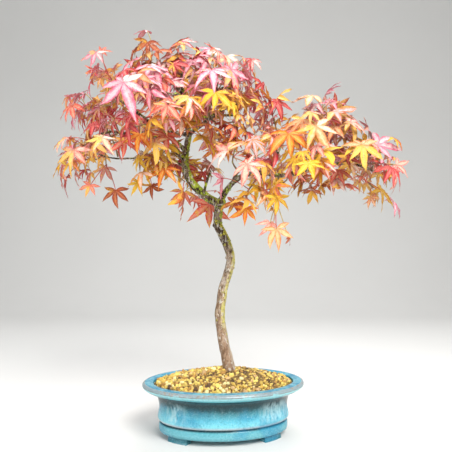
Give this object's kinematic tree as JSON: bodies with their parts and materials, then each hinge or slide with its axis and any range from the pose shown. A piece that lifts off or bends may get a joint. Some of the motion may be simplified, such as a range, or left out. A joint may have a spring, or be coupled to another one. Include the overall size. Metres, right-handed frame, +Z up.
{
  "type": "japanese maple bonsai",
  "caption": "Japanese maple bonsai in autumn leaf: a slim curved trunk forks into two limbs of leafy sprays, planted in granular soil in an oval turquoise pot.",
  "frame": {"origin": "on the table under the middle of the whole outline, close to the middle of the pot's foot", "axes": "+Z up along the tree's height, X along the pot's long side and the tree's spread, +Y towards the back"},
  "size_m": [0.446, 0.2464, 0.5157],
  "materials": {
    "turquoise_glaze": "glossy turquoise glaze, streaked, breaking brown at the rim's edge",
    "screen_plastic": "black plastic mesh",
    "soil_granules": "loose ochre clay granules, dull",
    "bark": "grey-brown bark with yellow-green moss and pale lichen",
    "leaf_pink": "thin autumn leaf, pink-red, faint satin",
    "leaf_crimson": "thin autumn leaf, crimson, faint satin",
    "leaf_coral": "thin autumn leaf, coral red, faint satin",
    "leaf_orange": "thin autumn leaf, orange, faint satin",
    "leaf_peach": "thin autumn leaf, pale peach, faint satin",
    "leaf_gold": "thin autumn leaf, golden yellow, faint satin",
    "leaf_blush": "thin autumn leaf, pale orange-pink, faint satin",
    "leaf_russet": "thin dry leaf, dark red-brown, dull"
  },
  "bodies": {
    "root": {"pot": "turquoise_glaze", "drain_screen_left": "screen_plastic", "drain_screen_right": "screen_plastic", "soil": "soil_granules", "trunk": "bark", "spray_crown_left": "leaf_russet", "spray_crown_mid": "leaf_crimson", "spray_crown_right": "leaf_pink", "spray_dome_right": "leaf_pink", "spray_dome_front_right": "leaf_pink", "spray_shoulder_left": "leaf_pink", "spray_big_leaf": "leaf_pink", "spray_left_high": "leaf_pink", "spray_left_mid": "leaf_crimson", "spray_left_low": "leaf_blush", "spray_left_end": "leaf_crimson", "spray_left_under": "leaf_russet", "spray_under_mid": "leaf_gold", "spray_front_left": "leaf_orange", "spray_front_mid": "leaf_coral", "spray_front_low": "leaf_orange", "spray_front_gold": "leaf_gold", "spray_inner_right": "leaf_crimson", "spray_top_pale": "leaf_pink", "spray_neck_right": "leaf_crimson", "spray_saddle": "leaf_orange", "spray_right_top": "leaf_pink", "spray_right_star": "leaf_peach", "spray_right_gold": "leaf_gold", "spray_right_peach": "leaf_peach", "spray_right_fall": "leaf_peach", "spray_right_inner": "leaf_coral", "spray_right_end_high": "leaf_pink", "spray_right_end": "leaf_coral", "spray_right_end_low": "leaf_blush", "spray_heart_peach": "leaf_peach", "spray_heart_coral": "leaf_coral", "spray_under_left": "leaf_orange", "spray_under_right": "leaf_gold", "spray_drop": "leaf_peach", "spray_olive": "leaf_russet", "spray_trunk_coral": "leaf_coral", "spray_fork_behind": "leaf_russet", "spray_trunk_thin": "leaf_orange", "spray_behind_neck": "leaf_russet", "spray_back_left_high": "leaf_crimson", "spray_back_left": "leaf_orange", "spray_back_crown": "leaf_crimson", "spray_back_mid": "leaf_coral", "spray_back_top": "leaf_pink", "spray_back_heart": "leaf_crimson", "spray_back_shoulder": "leaf_crimson", "spray_back_waist": "leaf_orange", "spray_back_neck": "leaf_coral", "spray_back_right_top": "leaf_crimson", "spray_back_right": "leaf_orange", "spray_back_right_end": "leaf_peach", "spray_back_under": "leaf_gold", "spray_back_right_low": "leaf_coral"}
  },
  "joints": []
}
